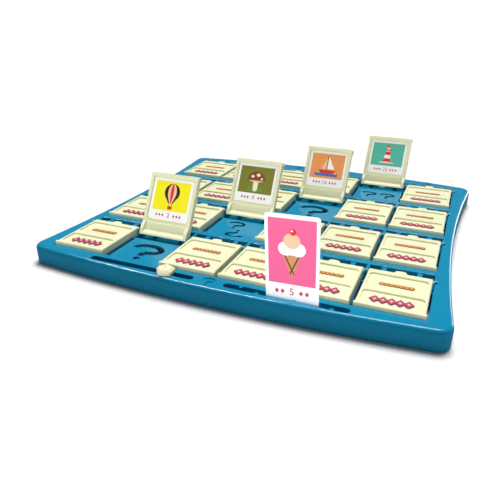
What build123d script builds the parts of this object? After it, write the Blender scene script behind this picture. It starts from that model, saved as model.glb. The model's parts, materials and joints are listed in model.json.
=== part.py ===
"""Face guessing flip game: a tray of 24 hinged flip frames with face cards.

Millimetres, +Z up.  The origin is the centre of the tray's bottom, the player sits at -Y.
Every dimension of a frame is given from its hinge axis: "along" runs up the frame when it stands,
"out" runs towards its face.  A lying frame therefore runs along -Y with its face down.
"""

import os
from math import cos, radians, sin

from build123d import *

os.makedirs("parts", exist_ok=True)

# ---------------------------------------------------------------- driving dimensions
COLUMNS = 6
ROWS = 4

FRONT_RIM = 14.35  # front channel to the tray's front, at the middle
BACK_RIM = 17.85
SIDE_RIM = 6.7  # channels to the waist of the concave sides
SIDE_FLARE = 7.2  # how far the unrounded corners stand out past the waist
STRIP_WIDTH = 5.6  # between two rows' channels
FRONT_BOW = 7.2  # how far the front edge bows out past the corners
BACK_BOW = 11.3
CORNER_RADIUS = 8.0
TRAY_HEIGHT = 12.6
EDGE_RADIUS = 2.5
WALL = 1.5

FRAME_WIDTH = 36.8
FRAME_GAP = 3.2  # between two frames of a row
FRAME_LENGTH = 42.3  # hinge axis to free end
FRAME_BACK = 2.4  # hinge axis to the back plane
FRAME_FACE = 2.2  # hinge axis to the front of the side rails
FOOT_OUT = 4.2  # hinge axis to the front of the foot
LEAN = 28.67  # how far back a standing frame leans, degrees

CARD_THICKNESS = 0.5
MYSTERY_WIDTH = 30.0
MYSTERY_TOP_Z = 61.3

PIN_RADIUS = 1.0
RUNNING_GAP = 0.3  # between bodies that pass each other
PIN_GAP = 0.1

# ---------------------------------------------------------------- frame details, (along, out)
FRAME_CORNER_RADIUS = 1.6
FRAME_BACK_RADIUS = 0.9
FRAME_FRONT_RADIUS = 0.5
REAR_ALONG_BACK = -0.2  # rear end at the back plane
REAR_ALONG_FOOT = -2.8  # rear end at the front of the foot
FOOT_ALONG = 2.6  # where the foot starts to slope back to the rails
FOOT_SLOPE_ALONG = 7.2
RAIL_WIDTH = 2.3
CAP_LENGTH = 2.3
CAP_REACH = 0.5  # cap beyond the side rails
CAP_RADIUS = 0.8
LEDGE_ALONG = 6.9
SILL_ALONG = 8.4
RECESS_OUT = 0.8  # floor of the face recess
RECESS_RADIUS = 1.0
SCOOP_TOP_OUT = 0.6
SCOOP_CREASE_ALONG = 2.2
SCOOP_LIP_ALONG = -1.2
SCOOP_OVERSHOOT = 1.0  # of the cut past the foot
CARD_ALONG = 9.8  # lower edge of the face card
CARD_SIDE_GAP = 0.6
CARD_TOP_GAP = 1.0
BACK_POCKET_DEPTH = 1.0
BACK_SIDE_RIM = 1.8
BACK_HINGE_RIM = 4.1
BACK_FREE_RIM = 3.4
BACK_DIVIDER = 3.6
SMALL_POCKET_LENGTH = 13.2
BACK_POCKET_RADIUS = 2.2
TAB_WIDTH = 7.0
TAB_LENGTH = 2.4
TAB_THICKNESS = 1.8
TAB_RADIUS = 2.3

# ---------------------------------------------------------------- tray details
PLATE = 2.0  # top plate of the tray
FLOOR = 1.8  # channel floor and walls
HINGE_DROP = 0.4  # hinge axis below the tray's top
CHANNEL_FRONT_GAP = 0.5
SIDE_GAP = 1.2  # outer frames to the channel's side walls
WELL_REAR = 9.6  # hinge axis to the rear wall of the well
WELL_GAP = 1.2  # foot to the bottom of the well
FOOT_GAP = 0.5
LUG_WIDTH = 1.9
LUG_FRONT = 2.3
LUG_WALL = 0.8  # around the pin's hole
STOP_WIDTH = 3.0
STOP_OFFSET = 10.5  # either side of a frame's middle
STOP_DROP = 0.6  # top of a stop rib below the rim
WEB = 1.6
GROOVE_WIDTH = 2.4  # open grooves between the pockets of a row
GROOVE_FRONT_GAP = 1.0
GROOVE_REAR_GAP = 1.8
BRIM_RADIUS = 0.7

SLOTS_IN = 7.6  # middle line of both slots, from the tray's front
SLOT_WIDTH = 4.6
SLIDER_SLOT = (-84.0, -11.0)
CARD_SLOT = (8.4, 81.6)
CARD_SLOT_DEPTH = 8.0
NIB_PITCH = 10.7
NIB_RADIUS = 1.1
NIBS = 6
NIBS_MIDDLE = 45.3

KNOB_X = -29.7
KNOB_RADIUS = 6.3
KNOB_SIDES = 5
KNOB_CORNER_RADIUS = 1.8
KNOB_MARK_LENGTH = 3.2
KNOB_MARK_WIDTH = 0.8
KNOB_MARK_TURN = -60
KNOB_HEIGHT = 3.1
KNOB_CHAMFER = 1.3
STEM_LENGTH = 6.0
TONGUE_LENGTH = 4.4
TONGUE_WIDTH = 2.6
CLIP_LENGTH = 8.0
CLIP_OVERLAP = 0.3  # clip beyond each edge of the slot
CLIP_THICKNESS = 1.5
CLIP_RADIUS = 1.0
TONGUE_END = 0.4

MARK_DEPTH = 0.5
FRONT_MARK_X = -1.3
FRONT_MARK_HEIGHT = 8.6
BACK_MARKS = ((-24.5, 9.2), (97.0, 12.7))  # x, distance from the tray's back
BACK_MARK_HEIGHT = 7.6
MYSTERY_MIDDLE_X = 48.8
MYSTERY_TILT = 2.2  # degrees, its top to the left
CARD_CORNER_RADIUS = 1.6

# question marks, as parts of their height
MARK_STROKE = 0.19
MARK_BOWL = 0.64
MARK_TAIL = 0.2
# those cut in the pocket floors: x, y from the floor's middle, height, turn
MARK_SINGLE = ((-0.5, -0.4, 24.0, 0),)
MARK_STACKED = ((-4.2, 7.2, 13.6, 0), (1.6, -7.0, 13.6, 180))
MARK_BESIDE = ((-7.6, 0.5, 13.6, 0), (7.8, 0.5, 13.6, 0))
MARK_PATTERNS = (MARK_SINGLE, MARK_STACKED, MARK_SINGLE, MARK_BESIDE)

# ---------------------------------------------------------------- worked out
FLIP = 90 + LEAN  # lying to standing
PITCH_X = FRAME_WIDTH + FRAME_GAP
PITCH_Y = FRAME_LENGTH + CHANNEL_FRONT_GAP + WELL_REAR + STRIP_WIDTH
HINGE_Z = TRAY_HEIGHT - HINGE_DROP
RIM = TRAY_HEIGHT - HINGE_Z  # rim above the hinge axis
CHANNEL_FLOOR = -FRAME_FACE - RUNNING_GAP  # from the hinge axis, as are the next ones
CHANNEL_FRONT = -FRAME_LENGTH - CHANNEL_FRONT_GAP
WELL_FLOOR = -FOOT_OUT - WELL_GAP
STOP_TOP = RIM - STOP_DROP
SPAN_X = COLUMNS * PITCH_X
CHANNEL_HALF = ((COLUMNS - 1) * PITCH_X + FRAME_WIDTH) / 2 + SIDE_GAP
PIN_LENGTH = PITCH_X / 2 - FRAME_WIDTH / 2 - PIN_GAP / 2
STRIP_MIDDLE = (WELL_REAR + PITCH_Y + CHANNEL_FRONT) / 2  # between two channels
POCKET_MIDDLE = (CHANNEL_FRONT - FOOT_SLOPE_ALONG) / 2
GROOVE_SPAN = (CHANNEL_FRONT + GROOVE_FRONT_GAP, -FOOT_SLOPE_ALONG - GROOVE_REAR_GAP)
TRAY_WAIST_X = CHANNEL_HALF + SIDE_RIM
TRAY_CORNER_X = TRAY_WAIST_X + SIDE_FLARE
TRAY_LENGTH = FRONT_RIM - CHANNEL_FRONT + (ROWS - 1) * PITCH_Y + WELL_REAR + BACK_RIM
FIRST_HINGE_Y = -TRAY_LENGTH / 2 + FRONT_RIM - CHANNEL_FRONT
RIM_Y = -TRAY_LENGTH / 2 + SLOTS_IN
FACE_CARD_WIDTH = FRAME_WIDTH - 2 * (RAIL_WIDTH + CARD_SIDE_GAP)
FACE_CARD_HEIGHT = FRAME_LENGTH - CAP_LENGTH - CARD_TOP_GAP - CARD_ALONG
CLIP_TOP = TRAY_HEIGHT - PLATE - RUNNING_GAP
COLUMN_X = [PITCH_X * (column - (COLUMNS - 1) / 2) for column in range(COLUMNS)]
HINGE_Y = [FIRST_HINGE_Y + PITCH_Y * row for row in range(ROWS)]
STANDING = [(row, row + 1) for row in range(ROWS)]


def lying(along, out):
    """Point (y, z) of a lying frame's profile, from the hinge axis."""
    return (-along, -out)


def foot_slope(gap):
    """Line of the foot's sloping front moved out by gap: two (y, z) points."""
    y1, z1 = lying(FOOT_ALONG, FOOT_OUT)
    y2, z2 = lying(FOOT_SLOPE_ALONG, FRAME_FACE)
    length = ((y2 - y1) ** 2 + (z2 - z1) ** 2) ** 0.5
    shift_y = -(z2 - z1) / length * gap
    shift_z = (y2 - y1) / length * gap
    return (y1 + shift_y, z1 + shift_z), (y2 + shift_y, z2 + shift_z)


def slope_y(z, gap):
    """Place on the moved slope line at height z."""
    (y1, z1), (y2, z2) = foot_slope(gap)
    return y1 + (z - z1) * (y2 - y1) / (z2 - z1)


def stop_y():
    """Front of the stop ribs, a running gap behind the standing frame's back plane."""
    lean = radians(LEAN)
    return (FRAME_BACK + RUNNING_GAP + STOP_TOP * sin(lean)) / cos(lean)


def question_mark(height):
    """Sketch of a plain question mark, centred on its own middle."""
    stroke = MARK_STROKE * height
    half_width = height / 2
    bowl_height = MARK_BOWL * height
    bowl_middle = (height - bowl_height) / 2
    tail_top = height / 2 - bowl_height + stroke / 2
    tail_length = MARK_TAIL * height
    with BuildSketch() as mark:
        with Locations((0, bowl_middle)):
            Ellipse(half_width, bowl_height / 2)
            Ellipse(half_width - stroke, bowl_height / 2 - stroke, mode=Mode.SUBTRACT)
        with Locations((-half_width / 2, bowl_middle - bowl_height / 4)):
            Rectangle(half_width, bowl_height / 2, mode=Mode.SUBTRACT)
        with Locations((0, tail_top - tail_length / 2)):
            Rectangle(stroke, tail_length)
        with Locations((0, (stroke - height) / 2)):
            Circle(stroke / 2)
    return mark.sketch


def tray_outline(inset):
    """Outline of the tray, moved in by inset: bowed front and back, concave sides."""
    half = TRAY_LENGTH / 2 - inset
    front = -half + FRONT_BOW
    back = half - BACK_BOW
    corner = TRAY_CORNER_X - inset
    waist = TRAY_WAIST_X - inset
    with BuildSketch() as outline:
        with BuildLine():
            ThreePointArc((-corner, front), (0, -half), (corner, front))
            ThreePointArc((corner, front), (waist, 0), (corner, back))
            ThreePointArc((corner, back), (0, half), (-corner, back))
            ThreePointArc((-corner, back), (-waist, 0), (-corner, front))
        make_face()
        fillet(outline.vertices(), CORNER_RADIUS - inset)
    return outline.sketch


def channel_sketch(grow, top):
    """Section of a channel from the hinge axis, with its floor and walls moved out by grow."""
    floor = CHANNEL_FLOOR - grow
    well = WELL_FLOOR - grow
    with BuildSketch() as channel:
        with BuildLine():
            Polyline(
                (CHANNEL_FRONT - grow, top),
                (CHANNEL_FRONT - grow, floor),
                (slope_y(floor, FOOT_GAP + grow), floor),
                (slope_y(well, FOOT_GAP + grow), well),
                (WELL_REAR + grow, well),
                (WELL_REAR + grow, top),
                close=True,
            )
        make_face()
    return channel.sketch


def lug_sketch():
    """Section of a hinge lug, from the hinge axis."""
    with BuildSketch() as lug:
        with BuildLine():
            Polyline(
                (-LUG_FRONT, WELL_FLOOR - FLOOR / 2),
                (-LUG_FRONT, RIM),
                (WELL_REAR + FLOOR / 2, RIM),
                (WELL_REAR + FLOOR / 2, WELL_FLOOR - FLOOR / 2),
                close=True,
            )
        make_face()
        Circle(PIN_RADIUS + PIN_GAP + LUG_WALL)
    return lug.sketch


def stop_sketch():
    """Section of a stop rib on the rear wall of the well, from the hinge axis."""
    with BuildSketch() as stop:
        with BuildLine():
            Polyline(
                (stop_y(), WELL_FLOOR - FLOOR / 2),
                (stop_y(), STOP_TOP),
                (WELL_REAR + FLOOR / 2, STOP_TOP),
                (WELL_REAR + FLOOR / 2, WELL_FLOOR - FLOOR / 2),
                close=True,
            )
        make_face()
    return stop.sketch


def card_slot_sketch():
    """The card slot, with nibs on alternate sides that hold a card upright."""
    length = CARD_SLOT[1] - CARD_SLOT[0]
    nib_reach = SLOT_WIDTH / 2 - CARD_THICKNESS / 2 - RUNNING_GAP
    with BuildSketch() as slot:
        with Locations((sum(CARD_SLOT) / 2, RIM_Y)):
            SlotOverall(length, SLOT_WIDTH)
        for i in range(NIBS):
            side = 1 if i % 2 == 0 else -1
            x = NIBS_MIDDLE + NIB_PITCH * (i - (NIBS - 1) / 2)
            edge = RIM_Y + side * SLOT_WIDTH / 2
            with Locations((x, edge - side * (nib_reach - NIB_RADIUS))):
                Circle(NIB_RADIUS, mode=Mode.SUBTRACT)
            with Locations((x, edge - side * (nib_reach - NIB_RADIUS) / 2)):
                Rectangle(2 * NIB_RADIUS, nib_reach - NIB_RADIUS, mode=Mode.SUBTRACT)
    return slot.sketch


def pocket_mark(row, column):
    """Question mark openings of one pocket floor, about the middle of the floor."""
    pattern = MARK_PATTERNS[(2 * (column - 1) - row) % len(MARK_PATTERNS)]
    with BuildSketch() as marks:
        for x, y, height, turn in pattern:
            with Locations(Location((x, y), turn)):
                add(question_mark(height))
    return marks.sketch


def groove_sketch():
    """Grooves along the sides of every pocket floor, open to the inside of the shell."""
    length = GROOVE_SPAN[1] - GROOVE_SPAN[0]
    inner = [PITCH_X * i - SPAN_X / 2 for i in range(1, COLUMNS)]
    outer_width = GROOVE_WIDTH / 2
    outer = CHANNEL_HALF - outer_width / 2
    with BuildSketch() as grooves:
        for hinge_y in HINGE_Y:
            middle = hinge_y + sum(GROOVE_SPAN) / 2
            with Locations(*[(x, middle) for x in inner]):
                Rectangle(GROOVE_WIDTH, length)
            with Locations((-outer, middle), (outer, middle)):
                Rectangle(outer_width, length)
    return grooves.sketch


def build_tray():
    """The moulded tray: an open shell with a channel of wells for each row of frames."""
    rows = [(hinge_y, HINGE_Z) for hinge_y in HINGE_Y]
    rim_top = Plane.XY.offset(TRAY_HEIGHT)
    with BuildPart() as tray:
        with BuildSketch():
            add(tray_outline(0))
        extrude(amount=TRAY_HEIGHT)
        fillet(tray.faces().sort_by(Axis.Z)[-1].edges(), EDGE_RADIUS)
        with BuildSketch():
            add(tray_outline(WALL))
        extrude(amount=TRAY_HEIGHT - PLATE, mode=Mode.SUBTRACT)
        with BuildSketch(Plane.YZ):
            with Locations(*rows):
                add(channel_sketch(FLOOR, RIM - PLATE / 2))
        extrude(amount=CHANNEL_HALF + FLOOR, both=True)
        with BuildSketch():
            with Locations(*[(0, hinge_y + STRIP_MIDDLE) for hinge_y in HINGE_Y[:-1]]):
                Rectangle(2 * CHANNEL_HALF, WEB)
        extrude(amount=TRAY_HEIGHT - PLATE / 2)
        with BuildSketch(Plane.XY.offset(TRAY_HEIGHT - CARD_SLOT_DEPTH - FLOOR)):
            with Locations((sum(CARD_SLOT) / 2, RIM_Y)):
                Rectangle(CARD_SLOT[1] - CARD_SLOT[0] + 2 * FLOOR, SLOT_WIDTH + 2 * FLOOR)
        extrude(amount=CARD_SLOT_DEPTH + FLOOR - PLATE / 2)
        with BuildSketch(Plane.YZ):
            with Locations(*rows):
                add(channel_sketch(0, RIM + PLATE))
        extrude(amount=CHANNEL_HALF, both=True, mode=Mode.SUBTRACT)
        brims = tray.edges().filter_by(Axis.X)
        fillet(brims.filter_by_position(Axis.Z, TRAY_HEIGHT, TRAY_HEIGHT), BRIM_RADIUS)
        for i in range(COLUMNS + 1):
            with BuildSketch(Plane.YZ.offset(PITCH_X * i - SPAN_X / 2)):
                with Locations(*rows):
                    add(lug_sketch())
            extrude(amount=LUG_WIDTH / 2, both=True)
        for x in COLUMN_X:
            for side in (-1, 1):
                with BuildSketch(Plane.YZ.offset(x + side * STOP_OFFSET)):
                    with Locations(*rows):
                        add(stop_sketch())
                extrude(amount=STOP_WIDTH / 2, both=True)
        with BuildSketch(Plane.YZ):
            with Locations(*rows):
                Circle(PIN_RADIUS + PIN_GAP)
        extrude(amount=(SPAN_X + LUG_WIDTH) / 2, both=True, mode=Mode.SUBTRACT)
        with BuildSketch(rim_top):
            add(card_slot_sketch())
        extrude(amount=-CARD_SLOT_DEPTH, mode=Mode.SUBTRACT)
        with BuildSketch(rim_top):
            with Locations((sum(SLIDER_SLOT) / 2, RIM_Y)):
                SlotOverall(SLIDER_SLOT[1] - SLIDER_SLOT[0], SLOT_WIDTH)
        extrude(amount=-2 * PLATE, mode=Mode.SUBTRACT)
        with BuildSketch(rim_top):
            with Locations((FRONT_MARK_X, RIM_Y)):
                add(question_mark(FRONT_MARK_HEIGHT))
            for x, inwards in BACK_MARKS:
                with Locations((x, TRAY_LENGTH / 2 - inwards)):
                    add(question_mark(BACK_MARK_HEIGHT))
        extrude(amount=-MARK_DEPTH, mode=Mode.SUBTRACT)
        with BuildSketch(Plane.XY.offset(HINGE_Z + CHANNEL_FLOOR)):
            for row in range(ROWS):
                for column in range(COLUMNS):
                    with Locations((COLUMN_X[column], HINGE_Y[row] + POCKET_MIDDLE)):
                        add(pocket_mark(row, column))
            add(groove_sketch())
        extrude(amount=-2 * FLOOR, mode=Mode.SUBTRACT)
    return tray


def build_frame():
    """One flip frame lying face down, its hinge axis along X through the origin."""
    profile = [
        lying(REAR_ALONG_BACK, -FRAME_BACK),
        lying(FRAME_LENGTH, -FRAME_BACK),
        lying(FRAME_LENGTH, FRAME_FACE),
        lying(FOOT_SLOPE_ALONG, FRAME_FACE),
        lying(FOOT_ALONG, FOOT_OUT),
        lying(REAR_ALONG_FOOT, FOOT_OUT),
    ]
    scoop = [
        lying(LEDGE_ALONG, FOOT_OUT + SCOOP_OVERSHOOT),
        lying(LEDGE_ALONG, SCOOP_TOP_OUT),
        lying(SCOOP_CREASE_ALONG, SCOOP_TOP_OUT),
        lying(SCOOP_LIP_ALONG, FOOT_OUT),
        lying(SCOOP_LIP_ALONG, FOOT_OUT + SCOOP_OVERSHOOT),
    ]
    inner_width = FRAME_WIDTH - 2 * RAIL_WIDTH
    recess_length = FRAME_LENGTH - CAP_LENGTH - SILL_ALONG
    side = FRAME_WIDTH / 2
    back_width = FRAME_WIDTH - 2 * BACK_SIDE_RIM
    small_start = FRAME_LENGTH - BACK_FREE_RIM - SMALL_POCKET_LENGTH
    back_pockets = (
        (BACK_HINGE_RIM, small_start - BACK_DIVIDER),
        (small_start, FRAME_LENGTH - BACK_FREE_RIM),
    )
    with BuildPart() as frame:
        with BuildSketch(Plane.YZ):
            with BuildLine():
                Polyline(*profile, close=True)
            make_face()
        extrude(amount=side, both=True)
        fillet(frame.edges().filter_by(Axis.Z).group_by(Axis.Y)[0], FRAME_CORNER_RADIUS)
        fillet(frame.faces().sort_by(Axis.Z)[-1].edges(), FRAME_BACK_RADIUS)
        fillet(frame.faces().sort_by(Axis.Z)[0].edges(), FRAME_FRONT_RADIUS)
        with BuildSketch(Plane.YZ):
            with Locations(lying(FRAME_LENGTH - CAP_LENGTH / 2, (FRAME_FACE - FRAME_BACK) / 2)):
                RectangleRounded(CAP_LENGTH, FRAME_FACE + FRAME_BACK, CAP_RADIUS)
        extrude(amount=side + CAP_REACH, both=True)
        with BuildSketch(Plane.XY.offset(-RECESS_OUT)):
            with Locations((0, -SILL_ALONG - recess_length / 2)):
                RectangleRounded(inner_width, recess_length, RECESS_RADIUS)
        extrude(amount=-2 * FRAME_FACE, mode=Mode.SUBTRACT)
        with BuildSketch(Plane.YZ):
            with BuildLine():
                Polyline(*scoop, close=True)
            make_face()
        extrude(amount=inner_width / 2, both=True, mode=Mode.SUBTRACT)
        with BuildSketch(Plane.XY.offset(FRAME_BACK)):
            for start, end in back_pockets:
                with Locations((0, -(start + end) / 2)):
                    RectangleRounded(back_width, end - start, BACK_POCKET_RADIUS)
        extrude(amount=-BACK_POCKET_DEPTH, mode=Mode.SUBTRACT)
        with BuildSketch(Plane.XY.offset(FRAME_BACK)):
            with Locations((0, -REAR_ALONG_BACK)):
                RectangleRounded(TAB_WIDTH, 2 * TAB_LENGTH, TAB_RADIUS)
        extrude(amount=-TAB_THICKNESS)
        for hand in (-1, 1):
            with BuildSketch(Plane.YZ.offset(hand * side)):
                Circle(PIN_RADIUS)
            extrude(amount=hand * PIN_LENGTH)
    return frame


def build_face_card():
    """The card of one frame, lying on the floor of its face recess."""
    with BuildPart() as card:
        with BuildSketch(Plane.XY.offset(-RECESS_OUT)):
            with Locations((0, -CARD_ALONG - FACE_CARD_HEIGHT / 2)):
                RectangleRounded(FACE_CARD_WIDTH, FACE_CARD_HEIGHT, CARD_CORNER_RADIUS)
        extrude(amount=-CARD_THICKNESS)
    return card


def build_slider_knob():
    """The score slider's knob: a pentagon with a bevelled top, a stem and a tongue for the clip."""
    under = TRAY_HEIGHT + RUNNING_GAP
    with BuildPart() as knob:
        with BuildSketch(Plane.XY.offset(under)) as outline:
            with Locations((KNOB_X, RIM_Y)):
                RegularPolygon(KNOB_RADIUS, KNOB_SIDES, rotation=180)
            fillet(outline.vertices(), KNOB_CORNER_RADIUS)
        extrude(amount=KNOB_HEIGHT)
        chamfer(knob.faces().sort_by(Axis.Z)[-1].edges(), KNOB_CHAMFER)
        with BuildSketch(Plane.XY.offset(under + KNOB_HEIGHT)):
            with Locations(Location((KNOB_X, RIM_Y), KNOB_MARK_TURN)):
                SlotOverall(KNOB_MARK_LENGTH, KNOB_MARK_WIDTH)
        extrude(amount=-MARK_DEPTH, mode=Mode.SUBTRACT)
        with BuildSketch(Plane.XY.offset(CLIP_TOP)):
            with Locations((KNOB_X, RIM_Y)):
                SlotOverall(STEM_LENGTH, SLOT_WIDTH - 2 * RUNNING_GAP)
        extrude(amount=under - CLIP_TOP)
        with BuildSketch(Plane.XY.offset(CLIP_TOP)):
            with Locations((KNOB_X, RIM_Y)):
                Rectangle(TONGUE_LENGTH, TONGUE_WIDTH)
        extrude(amount=-CLIP_THICKNESS - TONGUE_END)
    return knob


def build_slider_clip():
    """Plate pressed on the slider's tongue, that holds the slider under the rim."""
    with BuildPart() as clip:
        with BuildSketch(Plane.XY.offset(CLIP_TOP)):
            with Locations((KNOB_X, RIM_Y)):
                RectangleRounded(CLIP_LENGTH, SLOT_WIDTH + 2 * CLIP_OVERLAP, CLIP_RADIUS)
                Rectangle(TONGUE_LENGTH, TONGUE_WIDTH, mode=Mode.SUBTRACT)
        extrude(amount=-CLIP_THICKNESS)
    return clip


def build_mystery_card():
    """The loose card, standing in the card slot a little askew, with its picture to the front."""
    drop = sin(radians(MYSTERY_TILT)) * MYSTERY_WIDTH / 2
    bottom = TRAY_HEIGHT - CARD_SLOT_DEPTH + RUNNING_GAP + drop
    height = MYSTERY_TOP_Z - bottom
    with BuildPart() as card:
        with BuildSketch(Plane.XZ.offset(-RIM_Y - CARD_THICKNESS / 2)):
            with Locations(Location((MYSTERY_MIDDLE_X, bottom + height / 2), MYSTERY_TILT)):
                RectangleRounded(MYSTERY_WIDTH, height, CARD_CORNER_RADIUS)
        extrude(amount=CARD_THICKNESS)
    return card


def write(part, name):
    """Label a finished piece and write its STEP file."""
    part.label = name
    export_step(part, f"parts/{name}.step")


write(build_tray().part, "tray")
write(build_slider_knob().part, "slider_knob")
write(build_slider_clip().part, "slider_clip")
write(build_mystery_card().part, "mystery_card")

frame = build_frame()
face_card = build_face_card()
for row in range(ROWS):
    for column in range(COLUMNS):
        tilt = -FLIP if (row, column) in STANDING else 0
        place = Location((COLUMN_X[column], HINGE_Y[row], HINGE_Z), (tilt, 0, 0))
        write(frame.part.moved(place), f"flap_r{row + 1}_c{column + 1}")
        write(face_card.part.moved(place), f"face_r{row + 1}_c{column + 1}")
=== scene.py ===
"""Looks of the face guessing flip game: moulded plastics, printed cards, floor, light and camera.

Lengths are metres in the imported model's own frame.
"""

from __future__ import annotations

import json
import logging
import math
from dataclasses import dataclass, field
from enum import Enum
from typing import Any, Iterable, Sequence

import bmesh
import bpy
from mathutils import Matrix, Vector

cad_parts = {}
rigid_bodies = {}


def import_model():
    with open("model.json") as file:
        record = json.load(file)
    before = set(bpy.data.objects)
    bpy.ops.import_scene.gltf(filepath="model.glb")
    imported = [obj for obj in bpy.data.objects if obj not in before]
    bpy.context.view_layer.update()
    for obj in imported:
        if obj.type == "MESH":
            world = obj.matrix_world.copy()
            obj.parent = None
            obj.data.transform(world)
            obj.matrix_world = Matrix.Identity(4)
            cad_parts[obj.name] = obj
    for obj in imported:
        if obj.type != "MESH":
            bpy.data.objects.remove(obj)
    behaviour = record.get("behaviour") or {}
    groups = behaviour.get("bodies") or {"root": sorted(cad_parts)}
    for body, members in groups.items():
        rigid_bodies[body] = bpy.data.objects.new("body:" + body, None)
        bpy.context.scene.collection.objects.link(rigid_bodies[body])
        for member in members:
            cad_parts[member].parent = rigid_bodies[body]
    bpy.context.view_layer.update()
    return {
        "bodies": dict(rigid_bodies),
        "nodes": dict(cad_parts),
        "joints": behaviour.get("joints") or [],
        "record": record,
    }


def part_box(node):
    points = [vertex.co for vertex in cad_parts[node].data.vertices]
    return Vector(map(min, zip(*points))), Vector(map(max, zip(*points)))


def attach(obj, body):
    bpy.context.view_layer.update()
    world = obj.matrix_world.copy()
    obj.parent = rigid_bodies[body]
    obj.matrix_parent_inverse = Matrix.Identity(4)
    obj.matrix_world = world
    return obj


LOG = logging.getLogger("flip_game")
MM = 0.001
COLUMNS = 6

Point = tuple[float, float]
Colour = tuple[float, float, float]
Items = Iterable[bpy.types.Object]


def srgb(red: int, green: int, blue: int) -> Colour:
    """Turn a display colour into the linear one that shaders use.

    Args:
        red: Red, 0 to 255.
        green: Green, 0 to 255.
        blue: Blue, 0 to 255.

    Returns:
        The linear colour.
    """

    def linear(value: int) -> float:
        """One channel as linear light."""
        part = value / 255
        return part / 12.92 if part <= 0.04045 else ((part + 0.055) / 1.055) ** 2.4

    return linear(red), linear(green), linear(blue)


# ------------------------------------------------------------------------------- shader graph


class Sock:
    """A socket that takes part in Python expressions; each operator adds a Math node."""

    def __init__(self, graph: Graph, socket: bpy.types.NodeSocket) -> None:
        """Keep the socket and the graph it belongs to."""
        self.graph = graph
        self.socket = socket

    def _maths(self, operation: str, left: Any, right: Any) -> Sock:
        """Join two values with one Math node."""
        return self.graph.node("ShaderNodeMath", {"operation": operation}, {0: left, 1: right})

    def __add__(self, other: Any) -> Sock:
        """Sum."""
        return self._maths("ADD", self, other)

    def __radd__(self, other: Any) -> Sock:
        """Reflected sum."""
        return self._maths("ADD", other, self)

    def __sub__(self, other: Any) -> Sock:
        """Difference."""
        return self._maths("SUBTRACT", self, other)

    def __rsub__(self, other: Any) -> Sock:
        """Reflected difference."""
        return self._maths("SUBTRACT", other, self)

    def __mul__(self, other: Any) -> Sock:
        """Product."""
        return self._maths("MULTIPLY", self, other)

    def __rmul__(self, other: Any) -> Sock:
        """Reflected product."""
        return self._maths("MULTIPLY", other, self)

    def smooth(self, low: float, high: float) -> Sock:
        """Smooth step from 0 at low to 1 at high.

        Args:
            low: Value that gives 0.
            high: Value that gives 1.

        Returns:
            The step's socket.
        """
        settings = {"interpolation_type": "SMOOTHSTEP"}
        return self.graph.node("ShaderNodeMapRange", settings, {0: self, 1: low, 2: high})


class Graph:
    """The node tree of one material."""

    # The Mix node's sockets for colours: share, first, second and result.
    MIX_SHARE, MIX_ONE, MIX_OTHER, MIX_RESULT = 0, 6, 7, 2

    def __init__(self, name: str) -> None:
        """Make an empty material.

        Args:
            name: The material's name.
        """
        self.material = bpy.data.materials.new(name)
        self.material.use_nodes = True
        self.tree = self.material.node_tree
        self.tree.nodes.clear()

    def node(
        self, kind: str, settings: dict[str, Any], inputs: dict[Any, Any], output: Any = 0
    ) -> Sock:
        """Add a node.

        Args:
            kind: The node's type.
            settings: Its properties, set before its sockets.
            inputs: Values or sockets by input name or place.
            output: Name or place of the output wanted.

        Returns:
            That output.
        """
        made = self.tree.nodes.new(kind)
        for name, value in settings.items():
            setattr(made, name, value)
        for key, value in inputs.items():
            if isinstance(value, Sock):
                self.tree.links.new(value.socket, made.inputs[key])
            else:
                made.inputs[key].default_value = value
        return Sock(self, made.outputs[output])

    def place(self, scale: Sequence[float] = (1, 1, 1)) -> Sock:
        """Object coordinates, stretched by scale."""
        where = self.node("ShaderNodeTexCoord", {}, {}, "Object")
        settings = {"operation": "MULTIPLY"}
        return self.node("ShaderNodeVectorMath", settings, {0: where, 1: tuple(scale)})

    def noise(self, where: Sock, scale: float, detail: float = 3.0, rough: float = 0.5) -> Sock:
        """Noise from 0 to 1 at so many cells a metre."""
        inputs = {"Vector": where, "Scale": scale, "Detail": detail, "Roughness": rough}
        return self.node("ShaderNodeTexNoise", {}, inputs)

    def mix(self, share: Any, one: Any, other: Any) -> Sock:
        """Blend two colours.

        Args:
            share: 0 gives the first, 1 the second.
            one: First colour, or its socket.
            other: Second colour, or its socket.

        Returns:
            The blended colour.
        """
        inputs = {
            self.MIX_SHARE: share,
            self.MIX_ONE: self._rgba(one),
            self.MIX_OTHER: self._rgba(other),
        }
        return self.node("ShaderNodeMix", {"data_type": "RGBA"}, inputs, self.MIX_RESULT)

    @staticmethod
    def _rgba(value: Any) -> Any:
        """A colour with its alpha; sockets pass through."""
        return value if isinstance(value, Sock) else (*value, 1.0)

    def edges(self, reach: float) -> Sock:
        """1 along outward edges, falling to 0 within reach metres."""
        settings = {"samples": 6, "inside": True, "only_local": True}
        shade = self.node("ShaderNodeAmbientOcclusion", settings, {"Distance": reach}, "AO")
        return (1 - shade).smooth(0.25, 0.8)

    def bump(self, height: Sock, distance: float) -> Sock:
        """Normal from a height field of so many metres."""
        return self.node("ShaderNodeBump", {}, {"Height": height, "Distance": distance})

    def surface(self, inputs: dict[str, Any]) -> bpy.types.Material:
        """Finish the material with one Principled shader.

        Args:
            inputs: Values or sockets by the shader's input names.

        Returns:
            The finished material.
        """
        shader = self.node("ShaderNodeBsdfPrincipled", {}, inputs)
        out = self.tree.nodes.new("ShaderNodeOutputMaterial")
        self.tree.links.new(shader.socket, out.inputs["Surface"])
        return self.material


# ------------------------------------------------------------------------------- finishes


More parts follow.
